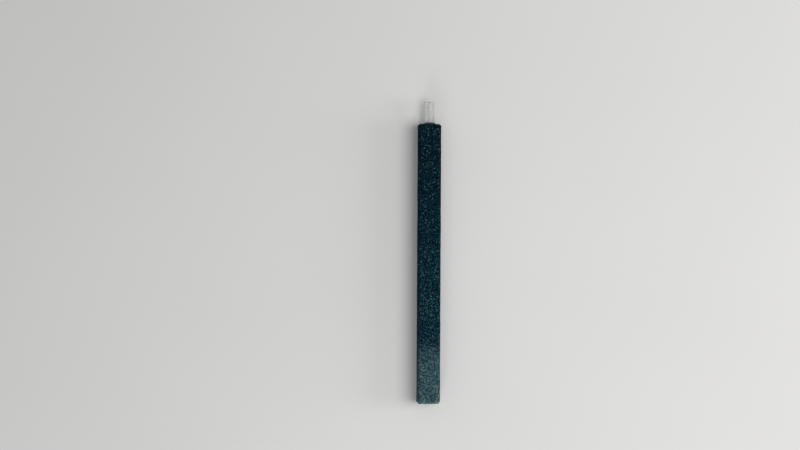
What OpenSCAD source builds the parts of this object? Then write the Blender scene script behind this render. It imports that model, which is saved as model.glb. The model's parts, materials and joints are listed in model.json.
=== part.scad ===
// Air stone bar: a moulded bar of bonded mineral grain with a clear plastic nozzle bonded
// into one end. The bar lies on its wide face at z = 0, centred on the origin, and the
// nozzle points along +X. Air enters the nozzle, runs down a blind channel along the
// middle of the bar and leaves through the pores of the grain. Millimetres throughout.

/* [Stone] */
// Length of the bar, without the nozzle
stone_length = 150; // [60:5:300]
// Width across the flat underside
base_width = 12.8; // [12:0.2:20]
// Height of the bar
stone_height = 12.4; // [12:0.2:20]
// Lean of the long sides, so that the bar leaves its mould (degrees)
mould_draft = 1.8; // [0:0.2:4]
// Radius of the edges round the top
crown_radius = 1.5; // [0.6:0.1:1.6]
// Radius of the edges round the underside
foot_radius = 0.8; // [0.3:0.1:1.5]
// Radius of the four upright corners
corner_radius = 1.3; // [0.6:0.1:1.6]

/* [Air channel] */
// Bore of the channel along the middle of the bar
channel_diameter = 4; // [3:0.1:4.2]
// Solid grain left beyond the channel's blind end
blind_wall = 10; // [5:1:20]

/* [Socket] */
// Depth of the socket that takes the nozzle's shank
socket_depth = 9; // [6:0.5:14]
// Gap round the shank, filled with adhesive
adhesive_gap = 0.25; // [0.15:0.05:0.4]
// Width of the countersink at the socket's mouth
countersink_diameter = 6.8; // [6.6:0.1:7.2]

/* [Nozzle] */
// Outside diameter of the spigot that the airline pushes over
spigot_diameter = 4.9; // [4.6:0.1:5.6]
// Free length of the spigot beyond its flange
spigot_length = 11.4; // [8:0.2:16]
// Bore through the nozzle
bore_diameter = 2.2; // [1.6:0.1:2.6]
// Diameter of the shank inside the stone
shank_diameter = 4.4; // [4.3:0.1:4.5]
// Diameter of the flange that seats on the stone
flange_diameter = 6; // [5.8:0.1:6.2]
// Thickness of the flange
flange_thickness = 0.8; // [0.6:0.1:1.2]
// Chamfer at the spigot's tip and at the shank's end
nozzle_chamfer = 0.25; // [0.1:0.05:0.4]

/* [Adhesive] */
// Diameter of the adhesive bead where it meets the stone
bead_diameter = 8.4; // [7.6:0.1:8.6]

/* [Hidden] */
$fn = 96;

end_x = stone_length / 2;
axis_z = stone_height / 2;
socket_floor_x = end_x - socket_depth;
socket_radius = shank_diameter / 2 + adhesive_gap;
shank_radius = shank_diameter / 2;
spigot_radius = spigot_diameter / 2;
bore_radius = bore_diameter / 2;
flange_radius = flange_diameter / 2;
countersink_radius = countersink_diameter / 2;
countersink_depth = countersink_radius - socket_radius;
channel_radius = channel_diameter / 2;
channel_end_x = -end_x + blind_wall;
bead_radius = bead_diameter / 2;
// The bead's surface is an arc from the flange's rim down to the stone
bead_width = bead_radius - flange_radius;
bead_arc_radius = (pow(bead_width, 2) + pow(flange_thickness, 2)) / (2 * flange_thickness);
clearance_cut = 1;
clear_plastic = [0.84, 0.88, 0.87, 0.55];
teal_grain = [0.09, 0.2, 0.23];
dark_resin = [0.05, 0.09, 0.1];

// Upright outline of the bar: sides that lean in by an angle, with a true arc at each corner
module upright_outline(foot_width, lean) {
    crown_z = stone_height - crown_radius;
    crown_x = foot_width / 2 - crown_z * tan(lean) - crown_radius / cos(lean);
    foot_z = foot_radius;
    foot_x = foot_width / 2 - foot_z * tan(lean) - foot_radius / cos(lean);
    right = [
        [foot_x, 0],
        [foot_x + foot_radius * cos(lean), foot_z + foot_radius * sin(lean)],
        [crown_x + crown_radius * cos(lean), crown_z + crown_radius * sin(lean)],
        [crown_x, stone_height]
    ];
    left = [for (i = [3:-1:0]) [-right[i].x, right[i].y]];
    union() {
        polygon(concat(right, left));
        for (side = [-1, 1]) {
            translate([side * foot_x, foot_z]) circle(foot_radius);
            translate([side * crown_x, crown_z]) circle(crown_radius);
        }
    }
}

// Outline of the bar seen from above: a rectangle with a true arc at each corner
module plan_outline() {
    union() {
        square([stone_length - 2 * corner_radius, base_width], center = true);
        square([stone_length, base_width - 2 * corner_radius], center = true);
        for (sx = [-1, 1], sy = [-1, 1])
            translate([sx * (end_x - corner_radius), sy * (base_width / 2 - corner_radius)])
                circle(corner_radius);
    }
}

// A solid of revolution about the bar's long axis: the outline's first coordinate is the
// distance from the axis, and its second is the place along X
module about_air_axis() {
    translate([0, 0, axis_z])
        rotate([0, 90, 0])
            rotate_extrude()
                children();
}

// The bar without its channel and socket
module moulded_bar() {
    intersection() {
        rotate([90, 0, 90])
            linear_extrude(stone_length + 2 * clearance_cut, center = true)
                upright_outline(base_width, mould_draft);
        rotate([90, 0, 0])
            linear_extrude(base_width + 2 * clearance_cut, center = true)
                upright_outline(stone_length, 0);
        linear_extrude(stone_height)
            plan_outline();
    }
}

// Channel left by the moulding rod, with its rounded end
module air_channel() {
    tip_x = channel_end_x + channel_radius;
    translate([tip_x, 0, axis_z])
        sphere(channel_radius);
    translate([tip_x, 0, axis_z])
        rotate([0, 90, 0])
            cylinder(h = socket_floor_x - tip_x + clearance_cut, r = channel_radius);
}

// Socket for the shank, with its countersunk mouth
module nozzle_socket() {
    about_air_axis()
        polygon([
            [0, socket_floor_x],
            [socket_radius, socket_floor_x],
            [socket_radius, end_x - countersink_depth],
            [countersink_radius, end_x],
            [countersink_radius, end_x + clearance_cut],
            [0, end_x + clearance_cut]
        ]);
}

module stone_body() {
    color(teal_grain)
        difference() {
            moulded_bar();
            air_channel();
            nozzle_socket();
        }
}

module air_nozzle() {
    flange_top_x = end_x + flange_thickness;
    tip_x = flange_top_x + spigot_length;
    color(clear_plastic)
        about_air_axis()
            polygon([
                [bore_radius, socket_floor_x],
                [shank_radius - nozzle_chamfer, socket_floor_x],
                [shank_radius, socket_floor_x + nozzle_chamfer],
                [shank_radius, end_x],
                [flange_radius, end_x],
                [flange_radius, flange_top_x],
                [spigot_radius, flange_top_x],
                [spigot_radius, tip_x - nozzle_chamfer],
                [spigot_radius - nozzle_chamfer, tip_x],
                [bore_radius, tip_x]
            ]);
}

// Resin sleeve round the shank, the filled countersink and the bead round the flange
module nozzle_adhesive() {
    color(dark_resin)
        about_air_axis()
            union() {
                polygon([
                    [shank_radius, socket_floor_x + nozzle_chamfer],
                    [socket_radius, socket_floor_x + nozzle_chamfer],
                    [socket_radius, end_x - countersink_depth],
                    [countersink_radius, end_x],
                    [shank_radius, end_x]
                ]);
                intersection() {
                    translate([flange_radius, end_x])
                        square([bead_width, flange_thickness]);
                    translate([flange_radius, end_x + flange_thickness - bead_arc_radius])
                        circle(bead_arc_radius);
                }
            }
}

stone_body();
air_nozzle();
nozzle_adhesive();
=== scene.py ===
"""Looks of the air stone bar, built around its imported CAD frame.

The bar lies flat with its nozzle along +X. The stone is one closed skin of thousands of bonded
grains, with the socket and the air channel inside it. The nozzle and the adhesive are turned on
one axis, which runs along the middle of the bar. Shapes are in millimetres until new_object()
makes them metres. The lights and the camera are placed in metres.
"""
import json
import math

import bpy
import numpy as np
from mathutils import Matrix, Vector, kdtree


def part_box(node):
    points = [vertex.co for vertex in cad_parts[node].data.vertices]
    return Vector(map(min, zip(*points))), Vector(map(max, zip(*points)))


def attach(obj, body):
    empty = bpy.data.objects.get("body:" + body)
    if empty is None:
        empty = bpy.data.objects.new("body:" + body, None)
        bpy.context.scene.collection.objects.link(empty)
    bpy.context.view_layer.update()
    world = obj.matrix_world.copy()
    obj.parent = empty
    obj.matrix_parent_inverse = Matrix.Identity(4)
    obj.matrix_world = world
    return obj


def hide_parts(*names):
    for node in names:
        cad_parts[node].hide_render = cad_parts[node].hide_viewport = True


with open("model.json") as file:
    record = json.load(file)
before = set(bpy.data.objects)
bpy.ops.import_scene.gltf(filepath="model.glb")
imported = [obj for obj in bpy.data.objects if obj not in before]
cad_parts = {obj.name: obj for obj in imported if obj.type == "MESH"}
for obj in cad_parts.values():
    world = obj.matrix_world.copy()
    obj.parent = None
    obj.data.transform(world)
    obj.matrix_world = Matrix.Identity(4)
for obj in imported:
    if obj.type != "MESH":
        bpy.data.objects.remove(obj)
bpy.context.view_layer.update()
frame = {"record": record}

MM = 0.001
SEED = 20

# Sizes that no box of the frame gives, as in the part's own source
CROWN_RADIUS = 1.5
FOOT_RADIUS = 0.8
MOULD_DRAFT = math.radians(1.8)
COUNTERSINK_RADIUS = 3.4
SOCKET_RADIUS = 2.45
CHANNEL_RADIUS = 2.0
BLIND_WALL = 10.0
SHANK_RADIUS = 2.2
BORE_RADIUS = 1.1
SLEEVE_SETBACK = 0.25

stone_low, stone_high = (np.array(corner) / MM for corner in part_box("stone_body"))
nozzle_low, nozzle_high = (np.array(corner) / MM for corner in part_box("air_nozzle"))
bead_high = np.array(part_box("nozzle_adhesive")[1]) / MM
mounts = {mount["name"]: mount for mount in frame["record"]["mounts"]}
AXIS_Z = (nozzle_low[2] + nozzle_high[2]) / 2
END_X = stone_high[0]
TIP_X = nozzle_high[0]
SOCKET_FLOOR_X = nozzle_low[0]
FLANGE_TOP_X = bead_high[0]
FLANGE_RADIUS = nozzle_high[1]
BEAD_RADIUS = bead_high[1]
SPIGOT_RADIUS = mounts["airline_spigot"]["dims"]["r_mm"]


def new_object(name, places, faces, material):
    """A smooth-shaded mesh from vertices in millimetres, in the scene."""
    mesh = bpy.data.meshes.new(name)
    mesh.from_pydata((np.asarray(places) * MM).tolist(), [], faces)
    mesh.shade_smooth()
    mesh.materials.append(material)
    piece = bpy.data.objects.new(name, mesh)
    bpy.context.scene.collection.objects.link(piece)
    return piece


def smooth_noise(places, wavelength, rng, octaves=2, waves=7):
    """Soft random numbers round 0, mostly within 1: plane waves in random directions, added up."""
    total = np.zeros(len(places))
    for octave in range(octaves):
        for _ in range(waves):
            direction = rng.normal(size=3)
            direction /= np.linalg.norm(direction)
            turn = 2 * math.pi * 2**octave / wavelength * rng.uniform(0.7, 1.4)
            total += np.sin(places @ direction * turn + rng.uniform(0, 2 * math.pi)) / 2**octave
    return total / waves**0.5


# ---- Materials -------------------------------------------------------------------------------


class Shader:
    """A material under construction: its node tree, and short ways to add to it."""

    def __init__(self, name, **constants):
        self.material = bpy.data.materials.new(name)
        self.material.use_nodes = True
        self.tree = self.material.node_tree
        self.tree.nodes.clear()
        values = {socket.replace("_", " "): value for socket, value in constants.items()}
        self.surface = self.add("BsdfPrincipled", values)
        output = self.add("OutputMaterial")
        self.link(self.surface.outputs["BSDF"], output.inputs["Surface"])

    def add(self, kind, values=None, **properties):
        """A new node with these values on its sockets, and these properties."""
        node = self.tree.nodes.new("ShaderNode" + kind)
        for name, value in properties.items():
            setattr(node, name, value)
        for socket, value in (values or {}).items():
            node.inputs[socket].default_value = value
        return node

    def link(self, output, socket):
        self.tree.links.new(output, socket)

    def drive(self, name, output):
        """Links an output to a socket of the surface."""
        self.link(output, self.surface.inputs[name])

    def feed(self, socket, colour):
        """Gives a socket a (red, green, blue), or another node's output."""
        if isinstance(colour, tuple):
            socket.default_value = (*colour, 1)
        else:
            self.link(colour, socket)

    def attribute(self, name):
        return self.add("Attribute", attribute_name=name).outputs["Fac"]

    def noise(self, scale, detail=2.0, roughness=0.5):
        """Noise with scale features in a metre of the object, from 0 to 1."""
        node = self.add("TexNoise", {"Scale": scale, "Detail": detail, "Roughness": roughness})
        self.link(self.add("TexCoord").outputs["Object"], node.inputs["Vector"])
        return node.outputs["Fac"]

    def facets(self, scale, tilt):
        """The surface's normal, tipped a different way on each of scale flat cells in a metre."""
        cells = self.add("TexVoronoi", {"Scale": scale})
        self.link(self.add("TexCoord").outputs["Object"], cells.inputs["Vector"])
        ways = self.add("VectorMath", {1: (0.5, 0.5, 0.5)}, operation="SUBTRACT")
        self.link(cells.outputs["Color"], ways.inputs[0])
        tips = self.add("VectorMath", {"Scale": tilt}, operation="SCALE")
        self.link(ways.outputs[0], tips.inputs[0])
        tipped = self.add("VectorMath", operation="ADD")
        self.link(tips.outputs[0], tipped.inputs[0])
        self.link(self.add("NewGeometry").outputs["Normal"], tipped.inputs[1])
        return tipped.outputs[0]

    def span(self, value, low, high, to_low=0.0, to_high=1.0):
        """Stretches a value from low..high to to_low..to_high, and clamps it."""
        ends = {"From Min": low, "From Max": high, "To Min": to_low, "To Max": to_high}
        node = self.add("MapRange", ends)
        self.link(value, node.inputs["Value"])
        return node.outputs["Result"]

    def ramp(self, value, stops):
        """A colour ramp with (position, (red, green, blue)) stops."""
        node = self.add("ValToRGB")
        elements = node.color_ramp.elements
        while len(elements) < len(stops):
            elements.new(0.5)
        for element, (position, colour) in zip(elements, stops):
            element.position = position
            element.color = (*colour, 1)
        self.link(value, node.inputs["Fac"])
        return node.outputs["Color"]

    def mix(self, share, first, second, blend="MIX"):
        """A mix of two colours, with this share of the second."""
        node = self.add("Mix", data_type="RGBA", blend_type=blend)
        first_colour, second_colour = node.inputs[6:8]
        self.link(share, node.inputs["Factor"])
        self.feed(first_colour, first)
        self.feed(second_colour, second)
        return node.outputs[2]

    def bump(self, height, strength, distance, normal=None):
        """Gives the surface and its coat this relief, on top of a normal if one is given."""
        node = self.add("Bump", {"Strength": strength, "Distance": distance})
        self.link(height, node.inputs["Height"])
        if normal:
            self.link(normal, node.inputs["Normal"])
        self.drive("Normal", node.outputs["Normal"])
        self.drive("Coat Normal", node.outputs["Normal"])


def grain_material():
    """Dark teal grains under thin resin: each has its own tone, gaps are darkened with painted shade,
    some glint.
    """
    shader = Shader("bonded_teal_grain", Specular_IOR_Level=0.02, Coat_Roughness=0.15)
    tones = [
        (0.0, (0.0000, 0.0010, 0.0030)),
        (0.25, (0.0000, 0.0064, 0.0125)),
        (0.5, (0.0009, 0.0155, 0.0250)),
        (0.75, (0.0048, 0.0310, 0.0445)),
        (0.9, (0.0120, 0.0500, 0.0660)),
        (1.0, (0.0360, 0.0880, 0.1060)),
    ]
    green_cast = (1.1, 1.02, 0.88)
    brighter = (1.6, 1.6, 1.6)
    # pale: for chips, and for specks that are partly pale grains and partly painted glints
    pale = (0.20, 0.36, 0.39)
    tan = (0.30, 0.25, 0.14)
    # painted shade for the gaps between grains
    gap_shade = (0.0004, 0.0030, 0.0050)
    # pale veil of painted glare for the far end
    painted_glare = (0.14, 0.26, 0.27)

    # the tone holds the grains' own tones, less painted shade towards the nozzle end
    colour = shader.ramp(shader.attribute("tone"), tones)
    in_patches = shader.span(shader.noise(260), 0.35, 0.65, 0.0, 0.5)
    colour = shader.mix(in_patches, colour, green_cast, "MULTIPLY")
    in_speckles = shader.span(shader.noise(4200, 2, 0.6), 0.3, 0.7, 0.0, 0.6)
    colour = shader.mix(in_speckles, colour, brighter, "MULTIPLY")
    # pale chips, and pale specks that are partly pale grains and partly painted glints
    colour = shader.mix(shader.attribute("pale"), colour, pale)
    colour = shader.mix(shader.attribute("tan"), colour, tan)
    # painted shade in the gaps between grains, darker the deeper the gap
    in_painted_gap_shade = shader.span(shader.attribute("depth"), 0.25, 0.9, 0.0, 0.85)
    colour = shader.mix(in_painted_gap_shade, colour, gap_shade)
    # painted glare: a pale veil over the far end, most of all on top
    colour = shader.mix(shader.attribute("painted_glare"), colour, painted_glare)
    shader.drive("Base Color", colour)

    shader.drive("Roughness", shader.span(shader.noise(1800), 0.3, 0.7, 0.55, 0.85))
    on_shiny_grains = shader.span(shader.attribute("glint"), 0.94, 0.95, 0.0, 0.22)
    shader.drive("Coat Weight", on_shiny_grains)
    shader.bump(shader.noise(7000, 3, 0.6), 0.4, 0.0001, shader.facets(4000, 0.7))
    return shader.material


def clear_material():
    """Clear moulded plastic, a touch cloudy and uneven."""
    shader = Shader("clear_moulded_plastic", Transmission_Weight=0.75, IOR=1.49, Alpha=0.6)
    tints = [(0.35, (0.73, 0.75, 0.74)), (0.7, (0.81, 0.83, 0.82))]
    shader.drive("Base Color", shader.ramp(shader.noise(350, 3), tints))
    shader.drive("Roughness", shader.span(shader.noise(300), 0.3, 0.7, 0.16, 0.24))
    shader.bump(shader.noise(250), 0.03, 0.0002)
    return shader.material


def resin_material():
    """Cured resin: glossy, and dark where it wets the grain."""
    gloss = {"Specular_IOR_Level": 0.35, "Coat_Weight": 0.3, "Coat_Roughness": 0.05}
    shader = Shader("cured_dark_resin", **gloss)
    tints = [
        (0.3, (0.002, 0.006, 0.008)),
        (0.6, (0.005, 0.015, 0.019)),
        (0.8, (0.014, 0.032, 0.038)),
    ]
    shader.drive("Base Color", shader.ramp(shader.noise(700, 3), tints))
    shader.drive("Roughness", shader.span(shader.noise(1400), 0.35, 0.7, 0.06, 0.2))
    shader.bump(shader.noise(900, 3), 0.35, 0.0003)
    return shader.material


def floor_material():
    """A plain pale floor."""
    shader = Shader("pale_floor", Roughness=0.9, Specular_IOR_Level=0.2)
    tones = [(0.3, (0.68, 0.675, 0.67)), (0.7, (0.695, 0.69, 0.685))]
    shader.drive("Base Color", shader.ramp(shader.noise(9), tones))
    return shader.material


# ---- Stone -----------------------------------------------------------------------------------

# Lattice that the skin is made from: its step, the half width of its square hole in steps, the
# power by which the rings round that hole turn from round to square, and how far its points are
# shaken along the skin, as a share of a step
CELL = 0.18
HOLE_CELLS = round(COUNTERSINK_RADIUS / CELL)
SQUARING = 0.7
SHAKE = 0.3

# Grains: least distance between centres, reach of a cap, its fall over the square of the distance,
# how proud it stands and how much lower it may sit, its tilt, how much it is squeezed one way, the
# share that are worn away and how much lower those sit, and the depth of the gaps between grains
GRAIN_GAP = 0.46
GRAIN_REACH = 0.42
GRAIN_CURVE = 1.25
GRAIN_PROUD = 0.05
GRAIN_SINK = 0.05
GRAIN_TILT = 0.13
GRAIN_SQUEEZE = (-0.35, 0.6)
LOST_SHARE = 0.06
LOST_DEPTH = (0.08, 0.2)
DEEPEST = 0.28

# Wear: even wear of the edges; depth and length of the chips in them, and the height of the noise
# that makes a chip; height and length of the skin's slow waves; and the width over which the
# relief fades in round the countersink
ARRIS_WEAR = 0.02
CHIP_DEPTH = 0.3
CHIP_LENGTH = 4.5
CHIP_LIMIT = 0.6
WAVE_HEIGHT = 0.03
WAVE_LENGTH = 14
RELIEF_FADE = 0.6

# Tones: reach over which neighbours differ, and where and how much shade is painted into the tone along
# +X, towards the nozzle
CLUMP = 0.8
DARK_FROM = -5
DARK_OVER = 50
NOZZLE_END_SHADE = 0.17

# Painted glare on the far end, a pale veil laid into the grains' colour: its reach, the length over
# which it fades, how uneven its edge is and over what length, the depth over which it thins down the
# sides and its share there, and the least of it and the range of it from grain to grain, skewed so that
# few grains have much
GLARE_REACH = 33.8
GLARE_FADE = 13
GLARE_UNEVENNESS = 0.15
GLARE_PATCH = 6
GLARE_DEPTH = 3
SIDE_GLARE = 0.3
LEAST_GLARE = 0.09
GLARE_RANGE = 0.55
GLARE_SKEW = 2.5

# Odd grains: pale specks all over, partly pale grains and partly painted glints, pale chips along the
# far end's top edge, and tan grains at the end of its top arris on the -Y side, fading out along the
# bar and towards its middle
GLINT_SPECK_SHARE = 0.08
GLINT_SPECK_PALENESS = (0.08, 0.26)
CHIP_SHARE = 0.4
CHIP_WIDTH = 1.0
TAN_SHARE = 0.25
TAN_REACH = 10.8
TAN_FADE = 9
TAN_INNER_SIDE = -2.4
TAN_SIDE_FADE = 2
TAN_DEPTH = 2
ODD_STRENGTH = (0.4, 1)


def box_skin():
    """The six sides of a box as lattice points and quads, less a square hole round the axis at +X.

    Returns the points, the quads as point numbers, and the number of cells along each axis.
    """
    cells = 2 * np.round((stone_high - stone_low) / CELL / 2).astype(int)
    quads = []
    for axis in range(3):
        u, v = (axis + 1) % 3, (axis + 2) % 3
        at_u, at_v = np.meshgrid(np.arange(cells[u]), np.arange(cells[v]), indexing="ij")
        for side in (0, cells[axis]):
            corners = np.zeros((cells[u], cells[v], 4, 3), int)
            corners[..., axis] = side
            for corner, (step_u, step_v) in enumerate(((0, 0), (1, 0), (1, 1), (0, 1))):
                corners[..., corner, u] = at_u + step_u
                corners[..., corner, v] = at_v + step_v
            if side == 0:
                corners = corners[..., ::-1, :]
            from_axis = np.maximum(abs(at_u + 0.5 - cells[u] / 2), abs(at_v + 0.5 - cells[v] / 2))
            hole_reach = HOLE_CELLS if axis == 0 and side else 0
            quads.append(corners[from_axis > hole_reach])
    quads = np.concatenate(quads)
    row, sheet = cells[2] + 1, (cells[1] + 1) * (cells[2] + 1)
    keys = quads[..., 0] * sheet + quads[..., 1] * row + quads[..., 2]
    kept, numbers = np.unique(keys, return_inverse=True)
    points = np.stack([kept // sheet, kept % sheet // row, kept % row], axis=1)
    return points, numbers.reshape(keys.shape), cells


def round_the_hole(points, cells, places):
    """Draws the square hole in the +X end into a circle, less and less towards that end's edges."""
    on_end = points[:, 0] == cells[0]
    steps = points[on_end, 1:] - cells[1:] / 2
    ring = abs(steps).max(axis=1)
    farthest = cells[1:].min() / 2
    square_share = np.clip((ring - HOLE_CELLS) / (farthest - HOLE_CELLS), 0, 1)[:, None] ** SQUARING
    direction = steps / np.linalg.norm(steps, axis=1)[:, None]
    circle = direction * ring[:, None] * COUNTERSINK_RADIUS / HOLE_CELLS
    square = places[on_end, 1:] - [0, AXIS_Z]
    places[on_end, 1:] = circle * (1 - square_share) + square * square_share + [0, AXIS_Z]


def rounded_bar(points, cells):
    """The place of each lattice point on the smooth bar, and the outward direction there."""
    places = stone_low + points / cells * (stone_high - stone_low)
    round_the_hole(points, cells, places)
    up = (places[:, 2:] - stone_low[2]) / (stone_high[2] - stone_low[2])
    radius = FOOT_RADIUS + (CROWN_RADIUS - FOOT_RADIUS) * up * up * (3 - 2 * up)
    core = np.clip(places, stone_low + radius, stone_high - radius)
    outward = places - core
    outward /= np.linalg.norm(outward, axis=1)[:, None]
    places = core + outward * radius
    places[:, 1] *= 1 - (places[:, 2] - FOOT_RADIUS) * math.tan(MOULD_DRAFT) / stone_high[1]
    return places, outward


def tree_of(places):
    """A search tree of the places."""
    tree = kdtree.KDTree(len(places))
    for number, place in enumerate(places.tolist()):
        tree.insert(place, number)
    tree.balance()
    return tree


def grain_centres(tree, places, rng):
    """Vertex numbers of grains strewn over the skin, none nearer to another than GRAIN_GAP."""
    free = np.ones(len(places), bool)
    centres = []
    for vertex in rng.permutation(len(places)):
        if free[vertex]:
            centres.append(vertex)
            near = [number for _, number, _ in tree.find_range(places[vertex], GRAIN_GAP)]
            free[near] = False
    return np.array(centres)


def wear(places, outward, rng):
    """How far the skin is chipped or worn at each point: most in the middle of an edge's round."""
    lean = 1 - abs(outward).max(axis=1)
    full_lean = 0.29
    arris = np.clip(lean / full_lean, 0, 1)
    chips = np.clip(smooth_noise(places, CHIP_LENGTH, rng) - CHIP_LIMIT, 0, 1)
    waves = smooth_noise(places, WAVE_LENGTH, rng)
    return arris * (ARRIS_WEAR + CHIP_DEPTH * chips) + WAVE_HEIGHT * waves


def grain_heights(places, outward, rng):
    """Raises a domed cap round each grain's centre.

    Returns each vertex's height, the grain that it belongs to, and the grains' centres.
    """
    tree = tree_of(places)
    centres = grain_centres(tree, places, rng)
    tops = GRAIN_PROUD - np.abs(rng.normal(0, GRAIN_SINK, len(centres)))
    tops -= wear(places[centres], outward[centres], rng)
    lost = rng.random(len(centres)) < LOST_SHARE
    tops[lost] -= rng.uniform(*LOST_DEPTH, lost.sum())
    tilts = rng.normal(0, GRAIN_TILT, (len(centres), 3))
    stretches = rng.normal(size=(len(centres), 3))
    stretches /= np.linalg.norm(stretches, axis=1)[:, None]
    squeezes = rng.uniform(*GRAIN_SQUEEZE, len(centres))
    heights = np.full(len(places), -DEEPEST)
    owners = np.zeros(len(places), int)
    for grain, centre in enumerate(centres):
        near = np.array([number for _, number, _ in tree.find_range(places[centre], GRAIN_REACH)])
        offsets = places[near] - places[centre]
        offsets -= np.outer(offsets @ outward[centre], outward[centre])
        reach = (offsets**2).sum(axis=1) + squeezes[grain] * (offsets @ stretches[grain]) ** 2
        cap = tops[grain] - GRAIN_CURVE * reach + offsets @ tilts[grain]
        higher = cap > heights[near]
        heights[near[higher]] = cap[higher]
        owners[near[higher]] = grain
    return heights, owners, centres


def inner_rings():
    """The x and the radius of each ring down the countersink, the socket and the channel."""
    countersink_x = END_X - COUNTERSINK_RADIUS + SOCKET_RADIUS
    dome_x = -END_X + BLIND_WALL + CHANNEL_RADIUS
    socket_rings, channel_rings, dome_rings = 6, 44, 9
    rings = [(x, SOCKET_RADIUS) for x in np.linspace(countersink_x, SOCKET_FLOOR_X, socket_rings)]
    rings += [(x, CHANNEL_RADIUS) for x in np.linspace(SOCKET_FLOOR_X, dome_x, channel_rings)]
    for angle in np.linspace(0, math.pi / 2, dome_rings)[1:-1]:
        rings.append((dome_x - CHANNEL_RADIUS * math.sin(angle), CHANNEL_RADIUS * math.cos(angle)))
    return rings


def bore_out(places, quads, rim):
    """Adds the walls of the countersink, socket and channel inside the hole that rim goes round."""
    angles = np.arctan2(places[rim, 2] - AXIS_Z, places[rim, 1])
    ring = rim[np.argsort(angles)]
    angles = np.sort(angles)
    faces = quads.tolist()
    added = [places]
    count = len(places)
    for x, radius in inner_rings():
        circle = [np.full(len(ring), x), radius * np.cos(angles), AXIS_Z + radius * np.sin(angles)]
        added.append(np.stack(circle, axis=1))
        inner = count + np.arange(len(ring))
        count += len(ring)
        faces += np.stack([ring, np.roll(ring, -1), np.roll(inner, -1), inner], axis=1).tolist()
        ring = inner
    added.append([[-END_X + BLIND_WALL, 0, AXIS_Z]])
    faces += [[*pair, count] for pair in zip(ring.tolist(), np.roll(ring, -1).tolist())]
    return np.concatenate(added), faces


def even_tones(centres, rng):
    """A tone from 0 to 1 for each grain: unlike its neighbours, so that no tone clumps."""
    tree = tree_of(centres)
    draws = rng.random(len(centres))
    unlike = draws.copy()
    for grain, centre in enumerate(centres.tolist()):
        near = [number for _, number, _ in tree.find_range(centre, CLUMP)]
        unlike[grain] -= draws[near].mean()
    return unlike.argsort().argsort() / len(centres)


def glare_over_far_end(centres, rng):
    """How much painted glare the bar has at each grain, from 0 to 1: on the far end, most of all on
    top.
    """
    from_far_end = centres[:, 0] + END_X
    edge_noise = GLARE_UNEVENNESS * smooth_noise(centres, GLARE_PATCH, rng)
    glare_share = np.clip((GLARE_REACH - from_far_end) / GLARE_FADE + edge_noise, 0, 1)
    near_top = np.clip((centres[:, 2] - stone_high[2]) / GLARE_DEPTH + 1, 0, 1)
    return glare_share * (SIDE_GLARE + (1 - SIDE_GLARE) * near_top)


def odd_grains(share, strength, rng, count):
    """This share of the grains, each with a strength from this range, and 0 for the rest."""
    chosen = rng.random(count) < share
    return chosen * rng.uniform(*strength, count)


def grain_numbers(centres, rng):
    """Each grain's tone, less painted shade towards the nozzle; its glint; its painted glare; its
    paleness, partly painted glints; and its tan, for the material.
    """
    count = len(centres)
    x, y, z = centres.T
    from_far_end = x + END_X
    # painted shade: the grains' tone is lowered towards the nozzle end
    painted_nozzle_shade = NOZZLE_END_SHADE * np.clip((x - DARK_FROM) / DARK_OVER, 0, 1)
    on_far_arris = (from_far_end < CHIP_WIDTH) & (z > stone_high[2] - CROWN_RADIUS)
    near_corner = np.clip((TAN_REACH - from_far_end) / TAN_FADE, 0, 1)
    near_corner *= np.clip((TAN_INNER_SIDE - y) / TAN_SIDE_FADE, 0, 1)
    near_corner *= z > stone_high[2] - TAN_DEPTH

    glare_share = glare_over_far_end(centres, rng)
    # pale specks: partly pale grains, partly painted glints
    pale_and_glint_specks = odd_grains(GLINT_SPECK_SHARE, GLINT_SPECK_PALENESS, rng, count)
    tones = even_tones(centres, rng) - painted_nozzle_shade
    glints = rng.random(count)
    # painted glare on the far end, uneven from grain to grain
    painted_glare = glare_share * (LEAST_GLARE + GLARE_RANGE * rng.random(count) ** GLARE_SKEW)
    chips = on_far_arris * odd_grains(CHIP_SHARE, ODD_STRENGTH, rng, count)
    tan = odd_grains(TAN_SHARE * near_corner, ODD_STRENGTH, rng, count)
    return {
        "tone": np.clip(tones, 0, 1),
        "glint": glints,
        "painted_glare": painted_glare,
        "pale": chips + pale_and_glint_specks,
        "tan": tan,
    }


def give_numbers(piece, numbers):
    """Stores numbers on a mesh's first points, and 0 on the rest."""
    for name, values in numbers.items():
        layer = piece.data.attributes.new(name, "FLOAT", "POINT")
        padded = np.zeros(len(layer.data), np.float32)
        padded[: len(values)] = values
        layer.data.foreach_set("value", padded)


def raised(places, outward, heights, on_end, rng):
    """The skin's places with the grains' relief, which fades out at the countersink's rim."""
    from_axis = np.hypot(places[:, 1], places[:, 2] - AXIS_Z)
    from_rim = np.clip((from_axis - COUNTERSINK_RADIUS) / RELIEF_FADE, 0, 1)
    shown = np.where(on_end, from_rim, 1)[:, None]
    shakes = rng.uniform(-SHAKE, SHAKE, places.shape) * CELL
    shakes -= outward * (shakes * outward).sum(axis=1)[:, None]
    relief = places + (shakes + outward * heights[:, None]) * shown
    relief[:, 2] = np.maximum(relief[:, 2], stone_low[2])
    return relief


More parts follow.
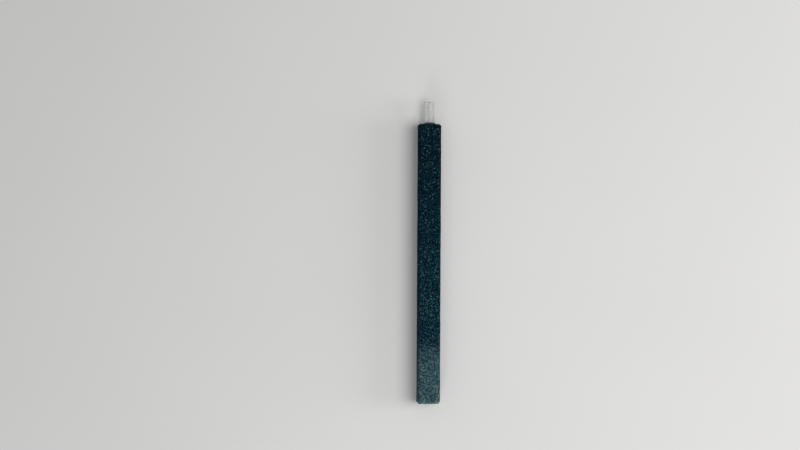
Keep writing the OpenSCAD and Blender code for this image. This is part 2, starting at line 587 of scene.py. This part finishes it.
def make_stone(material):
    """The bar of bonded grain: one closed skin, outside and inside."""
    rng = np.random.default_rng(SEED)
    points, quads, cells = box_skin()
    places, outward = rounded_bar(points, cells)
    heights, owners, centres = grain_heights(places, outward, rng)
    per_grain = grain_numbers(places[centres], rng)

    on_end = points[:, 0] == cells[0]
    places = raised(places, outward, heights, on_end, rng)
    from_middle = abs(points[:, 1:] - cells[1:] / 2).max(axis=1)
    rim = np.flatnonzero(on_end & (from_middle == HOLE_CELLS))
    places, faces = bore_out(places, quads, rim)

    piece = new_object("stone", places, faces, material)
    give_numbers(piece, {name: values[owners] for name, values in per_grain.items()})
    # depth below the grain tops, which the material turns into painted shade in the gaps
    give_numbers(piece, {"depth": np.clip(-heights / DEEPEST, 0, 1)})
    return piece


# ---- Nozzle and adhesive ---------------------------------------------------------------------

# Steps round the axis; height and half width, as a sine, of the nozzle's parting lines
TURN_STEPS = 96
PARTING_HEIGHT = 0.025
PARTING_WIDTH = 0.03

# Adhesive: depth of the bead's foot in the grain, power of its hollow curve, how far it creeps
# over the flange, how far its edge runs in and out, and the height of its lumps, how many times
# more of them than of the runs go round it, and how far they turn on the way out
BEAD_FOOT = 0.25
BEAD_HOLLOW = 1.8
BEAD_CREEP = 0.12
BEAD_RUN = 0.35
BEAD_LUMPS = 0.12
LUMPS_PER_RUN = 7
LUMP_TWIST = 9


def fillet(before, corner, after, radius, steps=5):
    """Points of the round arc that takes the place of a corner."""
    before, corner, after = (np.array(point) for point in (before, corner, after))
    back = (before - corner) / np.linalg.norm(before - corner)
    on = (after - corner) / np.linalg.norm(after - corner)
    half = math.acos(back @ on) / 2
    middle = (back + on) / np.linalg.norm(back + on)
    centre = corner + middle * radius / math.sin(half)
    first = corner + back * radius / math.tan(half) - centre
    last = corner + on * radius / math.tan(half) - centre
    sweep = math.pi - 2 * half
    points = []
    for share in np.linspace(0, 1, steps):
        spoke = math.sin((1 - share) * sweep) * first + math.sin(share * sweep) * last
        points.append(tuple(centre + spoke / math.sin(sweep)))
    return points


def rounded_outline(corners):
    """A closed outline from corners given as x, distance from the axis, and fillet."""
    outline = []
    for number, (x, r, radius) in enumerate(corners):
        before, after = corners[number - 1], corners[(number + 1) % len(corners)]
        if radius:
            outline += fillet(before[:2], (x, r), after[:2], radius)
        else:
            outline.append((x, r))
    return outline


def turned(name, outline, material, shift):
    """A closed solid of revolution on the air axis; shift(x, r, angle) is added to each (x, r)."""
    places = []
    for angle in np.arange(TURN_STEPS) * 2 * math.pi / TURN_STEPS:
        for x, r in outline:
            along, out = shift(x, r, angle)
            wide = r + out
            places.append((x + along, wide * math.cos(angle), AXIS_Z + wide * math.sin(angle)))
    count = len(outline)
    faces = []
    for step in range(TURN_STEPS):
        here, there = step * count, (step + 1) % TURN_STEPS * count
        for point in range(count):
            after = (point + 1) % count
            faces.append((here + point, there + point, there + after, here + after))
    return new_object(name, places, faces, material)


def make_nozzle(material):
    """The clear nozzle: bored shank, flange and spigot, with moulded edges and parting lines.

    Each corner is its x, its distance from the axis and its fillet.
    """
    outline = rounded_outline([
        (SOCKET_FLOOR_X, BORE_RADIUS, 0.1),
        (SOCKET_FLOOR_X, SHANK_RADIUS, 0.25),
        (END_X, SHANK_RADIUS, 0),
        (END_X, FLANGE_RADIUS, 0.08),
        (FLANGE_TOP_X, FLANGE_RADIUS, 0.2),
        (FLANGE_TOP_X, SPIGOT_RADIUS, 0.25),
        (TIP_X, SPIGOT_RADIUS, 0.25),
        (TIP_X, BORE_RADIUS, 0.12),
    ])

    def parting_line(x, r, angle):
        outside = x > END_X and r > SHANK_RADIUS
        ridge = PARTING_HEIGHT * math.exp(-((math.sin(angle) / PARTING_WIDTH) ** 2))
        return 0, ridge if outside else 0

    return turned("nozzle", outline, material, parting_line)


def make_bead(material):
    """The cured adhesive: sleeve round the shank, filled countersink and an uneven glossy bead."""
    foot_x = END_X - BEAD_FOOT
    crest_x = FLANGE_TOP_X + 0.04
    width = BEAD_RADIUS - FLANGE_RADIUS
    bead = []
    for share in np.linspace(0, 1, 12):
        x = foot_x + (crest_x - foot_x) * share**BEAD_HOLLOW
        bead.append((x, BEAD_RADIUS - width * share))
    outline = [
        (SOCKET_FLOOR_X + SLEEVE_SETBACK, SHANK_RADIUS),
        (SOCKET_FLOOR_X + SLEEVE_SETBACK, SOCKET_RADIUS),
        (END_X - COUNTERSINK_RADIUS + SOCKET_RADIUS, SOCKET_RADIUS),
        (foot_x, COUNTERSINK_RADIUS - END_X + foot_x),
        *bead,
        (FLANGE_TOP_X + 0.05, FLANGE_RADIUS - BEAD_CREEP),
        (FLANGE_TOP_X - 0.03, FLANGE_RADIUS - 0.25),
        (FLANGE_TOP_X - 0.2, FLANGE_RADIUS),
        (END_X, FLANGE_RADIUS),
        (END_X, SHANK_RADIUS),
    ]
    rng = np.random.default_rng(SEED + 1)
    waves = [(turns, rng.uniform(0.4, 1) / turns, rng.uniform(0, 6)) for turns in (2, 3, 5, 8)]

    def run_out(x, r, angle):
        share = np.clip((r - FLANGE_RADIUS) / width, 0, 1) if x >= foot_x else 0
        run = sum(size * math.sin(turns * angle + phase) for turns, size, phase in waves)
        twist = LUMP_TWIST * share
        lump = sum(math.sin(LUMPS_PER_RUN * turns * angle + twist + phase) for turns, _, phase in waves)
        return BEAD_LUMPS * lump * share * (1 - share), BEAD_RUN * run * share

    return turned("adhesive_bead", outline, material, run_out)


# ---- Pieces ----------------------------------------------------------------------------------

pieces = [
    (make_stone(grain_material()), "stone_body", "bonded_grain"),
    (make_nozzle(clear_material()), "air_nozzle", "clear_nozzle_plastic"),
    (make_bead(resin_material()), "nozzle_adhesive", "cured_resin"),
]
for piece, node, slot in pieces:
    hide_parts(node)
    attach(piece, "root")


# ---- Stage -----------------------------------------------------------------------------------


def make_floor():
    """A floor 3 m across."""
    half = 1500
    corners = [(-half, -half, 0), (half, -half, 0), (half, half, 0), (-half, half, 0)]
    new_object("floor", corners, [(0, 1, 2, 3)], floor_material())


def make_world():
    """Even white light from all round, and plain colours in the render."""
    strength = 0.32
    world = bpy.data.worlds.new("studio")
    world.use_nodes = True
    background = world.node_tree.nodes["Background"]
    background.inputs["Color"].default_value = (1, 1, 1, 1)
    background.inputs["Strength"].default_value = strength
    bpy.context.scene.world = world
    bpy.context.scene.view_settings.view_transform = "Standard"


def soft_light(name, place, size, watts):
    """A square area light, aimed at the middle of the bar."""
    lamp = bpy.data.lights.new(name, "AREA")
    lamp.size = size
    lamp.energy = watts
    holder = bpy.data.objects.new(name, lamp)
    holder.location = place
    holder.rotation_euler = (-Vector(place)).to_track_quat("-Z", "Y").to_euler()
    bpy.context.scene.collection.objects.link(holder)


def make_camera():
    """Straight down on the bar, nozzle up, with the bar a little right of and below the middle."""
    view_width = 0.4280
    lean = 0.005
    up_from_bar, left_of_bar = 0.0208, 0.0157
    data = bpy.data.cameras.new("camera")
    data.lens = 85
    camera = bpy.data.objects.new("camera", data)
    height = stone_high[2] * MM + view_width * data.lens / data.sensor_width
    camera.location = (up_from_bar, left_of_bar, height)
    camera.rotation_euler = (0, 0, lean - math.pi / 2)
    bpy.context.scene.collection.objects.link(camera)
    bpy.context.scene.camera = camera


make_floor()
make_world()
make_camera()
soft_light("key", (-0.05, -0.50, 0.95), 0.7, 6.3)
soft_light("far_end_fill", (-0.75, 0.10, 0.45), 0.3, 1.7)
soft_light("rim", (0.0, -1.10, 0.38), 0.4, 4.6)
